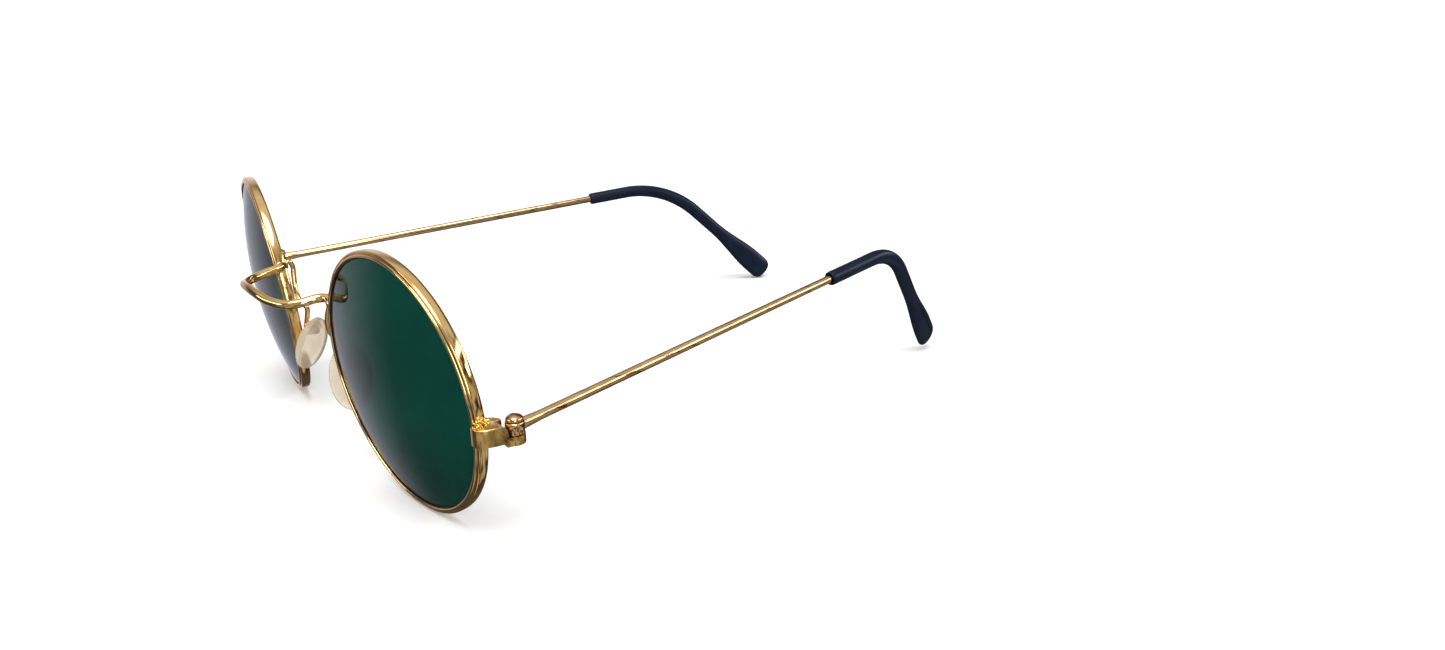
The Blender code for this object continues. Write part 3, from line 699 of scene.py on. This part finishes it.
def temple_line(side, label):
    """Evenly spaced points on the temple's centre line from the hinge to its end, and their spacing."""
    bend = TEMPLE_BENDS[label]
    bend_start = bend["wire"] + bend["run"]
    bend_length = bend["radius"] * math.radians(bend["angle"])
    full = bend_start + bend_length + bend["shaft"]
    place = Vector((0.0, 0.0, 0.0))
    line = [place.copy()]
    count = round(full / TEMPLE_SPACING)
    step = full / count
    for index in range(count):
        middle = (index + 0.5) * step
        share = min(max((middle - bend_start) / bend_length, 0.0), 1.0)
        pitch = math.radians(TEMPLE_RISE - bend["angle"] * share)
        toe = math.radians(TOE_IN * share)
        level = math.cos(pitch)
        heading = Vector((-side * math.sin(toe) * level, math.cos(toe) * level, math.sin(pitch)))
        place = place + heading * step
        line.append(place.copy())
    return line, step


def make_temple(side, label):
    """The wire, which thickens toward its bored eye and runs a little way into the tip."""
    bend = TEMPLE_BENDS[label]
    line, step = temple_line(side, label)
    last = int((bend["wire"] + 2.5) / step)
    path = line[2:last]
    flare = EYE_HEIGHT / 2.0 - WIRE_RADIUS - 0.02
    sizes = []
    for index in range(len(path)):
        distance = (index + 2) * step
        neck = max(0.0, 1.0 - (distance - 1.2) / 4.2)
        neck = neck * neck * (3.0 - 2.0 * neck)
        sizes.append((WIRE_RADIUS + 0.12 * neck, WIRE_RADIUS + flare * neck))
    shape = bmesh.new()
    sweep(shape, path, sizes, 28, ACROSS)
    finish_mesh("temple_wire_" + label, shape, GOLD_ROSE, "temple_" + label,
                ["temple_" + label], hinge_frame(side, label))
    shape = bmesh.new()
    half = EYE_HEIGHT / 2.0
    radius = KNUCKLE_RADIUS - 0.03
    turned(shape, [(0.62, half - 0.05), (0.7, half), (radius - 0.22, half), (radius - 0.06, half - 0.06),
                   (radius, half - 0.22), (radius, 0.22 - half), (radius - 0.06, 0.06 - half),
                   (radius - 0.22, -half), (0.7, -half), (0.62, 0.05 - half)], 56, closed=True)
    finish_mesh("temple_eye_" + label, shape, GOLD_ROSE, "temple_" + label, (),
                hinge_frame(side, label), 50.0)


def tip_section(share):
    """Half the width and half the thickness of the sleeve, share of the way along it."""
    flare = min(max((share - 0.66) / 0.25, 0.0), 1.0)
    flare = flare * flare * (3.0 - 2.0 * flare)
    oval = min(max((share - 0.2) / 0.3, 0.0), 1.0)
    half_width = TIP_RADIUS + 0.2 * oval + (PADDLE_HALF_WIDTH - TIP_RADIUS - 0.2) * flare
    return half_width, TIP_RADIUS - 0.1 * oval - 0.05 * flare


def make_tip(side, label):
    """The moulded sleeve: a rolled mouth round the wire, the bend, and the flat paddle."""
    bend = TEMPLE_BENDS[label]
    line, step = temple_line(side, label)
    first = round(bend["wire"] / step)
    route = line[first:]
    length = step * (len(route) - 1)
    along = headings(route)
    path = []
    directions = []
    sizes = []

    def add_ring(place, heading, thick, wide):
        path.append(place)
        directions.append(heading)
        sizes.append((thick, wide))

    for inward, share in TIP_MOUTH:
        add_ring(route[0] + along[0] * inward, along[0], TIP_RADIUS * share, TIP_RADIUS * share)
    for index in range(1, len(route)):
        walked = index * step
        if walked > length - TIP_ROUNDING:
            break
        half_width, half_thickness = tip_section(walked / length)
        add_ring(route[index], along[index], half_thickness, half_width)
    start = route[-1] - along[-1] * TIP_ROUNDING
    half_width, half_thickness = tip_section(1.0)
    for angle in TIP_ROUNDING_ANGLES:
        turn = math.radians(angle)
        add_ring(start + along[-1] * TIP_ROUNDING * math.sin(turn), along[-1],
                 half_thickness * math.cos(turn), half_width * math.cos(turn) ** 0.7)
    shape = bmesh.new()
    sweep(shape, path, sizes, 36, ACROSS, directions)
    finish_mesh("tip_sleeve_" + label, shape, NAVY, "temple_" + label,
                ["temple_tip_" + label], hinge_frame(side, label), 60.0)


# Pad arms, boxes and pads

PAD_PIVOT = (12.6, 0.9, 20.6)
PAD_FLARE = 21.0
PAD_LEAN = 7.0
PAD_SPLAY = 25.0
PAD_HALF_LENGTH = 6.4
PAD_HALF_WIDTH = 4.1
PAD_NOSE_SIDE = 1.12
PAD_RIM_SIDE = 0.52
PAD_STANDOFF = 1.45 + 0.06
PAD_DROP = -2.6
PAD_FORWARD = 1.0
STEM_HALF = 0.46
POCKET_HALF_WIDTH = 0.62
POCKET_HALF_LENGTH = 0.78

# The box's rounded corners: the centre of each, and the angle at which its arc starts.
BOX_CORNERS = ((-0.85, 0.75, 90.0), (-0.85, -0.75, 180.0), (0.85, -0.75, 270.0), (0.85, 0.75, 0.0))
BOX_CORNER_RADIUS = 0.35

ARM_RADIUS = 0.5
ARM_ANGLE = 154.0

# The wire's bends between the rim and the pad box, for each side.
ARM_KNOTS = {
    "left": ((15.6, 0.1, 34.0), (14.8, 0.55, 34.9), (14.3, 0.6, 36.6), (13.6, -0.1, 37.7),
             (12.9, -0.9, 37.2), (12.4, -1.5, 35.0), (11.9, -2.0, 32.6), (11.2, -2.5, 29.9),
             (11.0, -2.3, 27.2), (11.6, -1.1, 25.0)),
    "right": ((16.3, -0.1, 33.3), (16.1, -0.2, 31.6), (15.5, -0.4, 29.4), (14.5, -0.5, 27.6),
              (13.4, -0.2, 26.2), (12.8, 0.6, 24.9)),
}


def pad_frame(side):
    """Columns are the pad's width, its length upward, and the way to the nose."""
    splay = math.radians(PAD_SPLAY)
    flare = math.radians(PAD_FLARE)
    lean = math.radians(PAD_LEAN)
    up = Vector((-side * math.tan(flare), math.tan(lean), 1.0)).normalized()
    width = Vector((-math.sin(splay), -side * math.cos(splay), 0.0))
    width = (width - width.dot(up) * up).normalized()
    nose = width.cross(up)
    return Matrix((width, up, nose)).transposed()


def rectangle(half_width, half_length):
    return [(-half_width, -half_length), (half_width, -half_length), (half_width, half_length),
            (-half_width, half_length)]


def make_pad_arm(side, label):
    middle = LENS_OPENING_RADIUS + RIM_WIDTH / 2.0
    start = [rim_spot(side, ARM_ANGLE, middle, RIM_DEPTH + gap) for gap in (-0.1, 0.75)]
    x, y, z = PAD_PIVOT
    turn = pad_frame(side)
    holder = Vector((side * x, y, z))
    finish = [holder + turn @ Vector((0.0, along, -1.06 - ARM_RADIUS)) for along in (0.9, -0.6)]
    knots = start + [Vector((side * a, b, c)) for a, b, c in ARM_KNOTS[label]] + finish
    path = catmull(knots, 8)
    shape = bmesh.new()
    sweep(shape, path, [(ARM_RADIUS, ARM_RADIUS)] * len(path), 18)
    finish_mesh("pad_arm_wire_" + label, shape, GOLD, "front", ["pad_arm_" + label])
    shape = bmesh.new()
    lumpy(shape, start[0] + Vector((0.0, 0.15, 0.0)), (0.62, 0.55, 0.7), 9.0 + side, 0.3)
    lumpy(shape, holder + turn @ Vector((0.0, 0.0, -1.2)), (0.6, 0.8, 0.3), 11.0 + side, 0.25)
    finish_mesh("pad_arm_solder_" + label, shape, GOLD, "front")


def make_pad(side, label):
    """The soft pad with its stem, and the metal box that holds the stem."""
    x, y, z = PAD_PIVOT
    place = FRONT @ Matrix.Translation((side * x, y, z)) @ pad_frame(side).to_4x4()
    shape = bmesh.new()
    made = bmesh.ops.create_uvsphere(shape, u_segments=56, v_segments=32, radius=1.0)
    for corner in made["verts"]:
        across, along, out = corner.co
        thickness = PAD_NOSE_SIDE if out > 0.0 else PAD_RIM_SIDE
        rounded = math.copysign(abs(out) ** 0.8, out)
        edge = math.hypot(across, along)
        corner.co = Vector((PAD_HALF_WIDTH * across, PAD_HALF_LENGTH * along,
                            thickness * rounded - 0.12 * edge * edge))
        corner.co += Vector((side * PAD_FORWARD, PAD_DROP, PAD_STANDOFF))
    finish_mesh("nose_pad_soft_" + label, shape, CLEAR, "nose_pad_" + label,
                ["nose_pad_" + label], place, 180.0)
    shape = bmesh.new()
    plate(shape, rectangle(STEM_HALF, STEM_HALF), -0.42, 1.25, 0.1)
    finish_mesh("nose_pad_stem_" + label, shape, CLEAR, "nose_pad_" + label, (), place,
                40.0)

    shape = bmesh.new()
    outline = []
    for x, y, start in BOX_CORNERS:
        outline += arc((x, y), BOX_CORNER_RADIUS, 6, start, 90.0)
    plate(shape, outline, -1.0, 0.5, 0.12)
    holder = finish_mesh("pad_box_cup_" + label, shape, GOLD_WORN, "front",
                         ["pad_box_" + label], place, 40.0)
    pocket = bmesh.new()
    plate(pocket, rectangle(POCKET_HALF_WIDTH, POCKET_HALF_LENGTH), -0.62, 1.0, 0.0)
    subtract(holder, pocket, place)


def paint_screws(label):
    """The rim closing screws and pad pins are the CAD's own, in a better material."""
    for name in ("rim_lock_screw_", "pad_pin_"):
        for slot in frame["nodes"][name + label].material_slots:
            slot.material = SCREW


# Floor, world and lights, in metres

FLOOR_RADIUS = 8.0
FLOOR_GAP = 0.00005
WALL_DARK = (0.022, 0.014, 0.008)
WALL_LIGHT = (0.62, 0.60, 0.56)
WALL_FAR = (0.085, 0.08, 0.075)
BACKDROP = (1.0, 1.0, 1.0)
CEILING = (0.80, 0.80, 0.80)
SCREEN_FRONT = (0.62, 0.58, 0.68)
SCREEN_BACK = (0.86, 0.86, 1.0)
SUN_STRENGTH = 2.1
SUN_SPREAD = 40.0
SUN_HEADING = (-0.25, 0.2, -1.0)
LIGHTS_AIM = (0.0, 0.0, 0.02)

# Each area light: its name, place, width and height, and power.
AREA_LIGHTS = (
    ("soft_box_left", (1.1, -0.35, 0.35), (0.35, 0.8), 5.0),
    ("soft_box_front", (-0.2, -1.2, 0.5), (0.9, 0.3), 4.0),
    ("strip_back", (0.5, 1.1, 0.4), (1.2, 0.2), 4.0),
    ("strip_side", (0.9, 0.75, 0.75), (1.0, 0.12), 3.0),
)


def make_floor():
    """A round floor. Reflections don't show it, so that the gold keeps its dark streaks."""
    shape = bmesh.new()
    turned(shape, [(0.0, 0.0), (0.4, 0.0), (1.5, 0.0), (FLOOR_RADIUS, 0.0)], 64)
    mesh = bpy.data.meshes.new("floor")
    shape.to_mesh(mesh)
    shape.free()
    mesh.materials.append(floor_card())
    floor = bpy.data.objects.new("floor", mesh)
    bpy.context.scene.collection.objects.link(floor)
    floor.location.z = min(0.0, CAD_BOX[0][2]) - FLOOR_GAP
    floor.visible_glossy = False


def make_world():
    """A dim studio: uneven walls, a pale ceiling, and a slate screen on the wearer's right.

    The camera sees a plain white backdrop instead, both directly and through the lenses.
    """
    world = bpy.data.worlds.new("studio")
    bpy.context.scene.world = world
    world.use_nodes = True
    tree = world.node_tree
    direction = tree.nodes.new("ShaderNodeTexCoord").outputs["Generated"]
    split = tree.nodes.new("ShaderNodeSeparateXYZ")
    tree.links.new(direction, split.inputs["Vector"])

    def blend(source, start, end):
        part = tree.nodes.new("ShaderNodeMapRange")
        part.interpolation_type = "SMOOTHSTEP"
        part.inputs["From Min"].default_value = start
        part.inputs["From Max"].default_value = end
        tree.links.new(source, part.inputs["Value"])
        return part.outputs["Result"]

    def mix(factor, first, second):
        made = tree.nodes.new("ShaderNodeMix")
        made.data_type = "RGBA"
        tree.links.new(factor, made.inputs[0])
        for socket, value in ((made.inputs[6], first), (made.inputs[7], second)):
            if isinstance(value, tuple):
                socket.default_value = (*value, 1.0)
            else:
                tree.links.new(value, socket)
        return made.outputs[2]

    patches = tree.nodes.new("ShaderNodeTexNoise")
    patches.inputs["Scale"].default_value = 2.4
    patches.inputs["Detail"].default_value = 1.5
    squeezed = tree.nodes.new("ShaderNodeMapping")
    squeezed.inputs["Scale"].default_value = (1.0, 1.0, 2.4)
    tree.links.new(direction, squeezed.inputs["Vector"])
    tree.links.new(squeezed.outputs["Vector"], patches.inputs["Vector"])
    lean = tree.nodes.new("ShaderNodeMath")
    lean.operation = "MULTIPLY_ADD"
    lean.inputs[1].default_value = 0.10
    tree.links.new(split.outputs["X"], lean.inputs[0])
    tree.links.new(patches.outputs["Fac"], lean.inputs[2])
    walls = mix(blend(lean.outputs["Value"], 0.45, 0.64), WALL_DARK, WALL_LIGHT)
    walls = mix(blend(split.outputs["X"], 0.05, -0.35), walls, WALL_FAR)
    walls = mix(blend(split.outputs["Z"], 0.5, 0.9), walls, CEILING)
    screen = mix(blend(split.outputs["Y"], -0.12, 0.25), SCREEN_FRONT, SCREEN_BACK)
    colour = mix(blend(split.outputs["X"], -0.66, -0.98), walls, screen)
    ray = tree.nodes.new("ShaderNodeLightPath").outputs
    seen = tree.nodes.new("ShaderNodeMath")
    seen.operation = "MAXIMUM"
    tree.links.new(ray["Is Camera Ray"], seen.inputs[0])
    tree.links.new(ray["Is Transmission Ray"], seen.inputs[1])
    colour = mix(seen.outputs["Value"], colour, BACKDROP)
    tree.links.new(colour, tree.nodes["Background"].inputs["Color"])


def add_light(name, kind, heading):
    light = bpy.data.lights.new(name, kind)
    item = bpy.data.objects.new(name, light)
    bpy.context.scene.collection.objects.link(item)
    item.rotation_euler = heading.to_track_quat("-Z", "Y").to_euler()
    return item


def make_lights():
    sun = add_light("soft_sky_light", "SUN", Vector(SUN_HEADING))
    sun.data.energy = SUN_STRENGTH
    sun.data.angle = math.radians(SUN_SPREAD)
    for name, place, size, power in AREA_LIGHTS:
        item = add_light(name, "AREA", Vector(LIGHTS_AIM) - Vector(place))
        item.location = place
        item.data.shape = "RECTANGLE"
        item.data.size, item.data.size_y = size
        item.data.energy = power


# The camera, in the front frame: millimetres, radians, and shares of the sensor's width

CAMERA_PLACE = Vector((216.44, -61.23, 98.47))
CAMERA_AIM = Vector((33.86, 72.69, 20.0))
CAMERA_ROLL = 0.0196
CAMERA_LENS = 28.15
CAMERA_SHIFT = (0.0, -0.0071)
SENSOR_WIDTH = 36.0


def make_camera():
    camera = bpy.data.cameras.new("camera")
    item = bpy.data.objects.new("camera", camera)
    bpy.context.scene.collection.objects.link(item)
    forward = (CAMERA_AIM - CAMERA_PLACE).normalized()
    right = forward.cross(Vector((0.0, 0.0, 1.0))).normalized()
    down = forward.cross(right)
    turn = Matrix.Rotation(CAMERA_ROLL, 3, forward)
    right, down = turn @ right, turn @ down
    place = Matrix((right, -down, -forward)).transposed().to_4x4()
    place.translation = FRONT @ CAMERA_PLACE
    item.matrix_world = place
    camera.sensor_width = SENSOR_WIDTH
    camera.sensor_fit = "HORIZONTAL"
    camera.lens = CAMERA_LENS
    camera.shift_x, camera.shift_y = CAMERA_SHIFT
    camera.clip_start = 0.005
    camera.clip_end = 20.0
    camera.dof.use_dof = False
    bpy.context.scene.camera = item


make_camera()
make_world()
make_lights()
make_floor()
make_rims_and_lenses()
make_bridge()
for SIDE, LABEL in SIDES:
    make_end_piece(SIDE, LABEL)
    make_hinge_screw(SIDE, LABEL)
    make_rim_locks(SIDE, LABEL)
    make_temple(SIDE, LABEL)
    make_tip(SIDE, LABEL)
    make_pad_arm(SIDE, LABEL)
    make_pad(SIDE, LABEL)
    paint_screws(LABEL)

bpy.context.scene.view_settings.view_transform = "Standard"
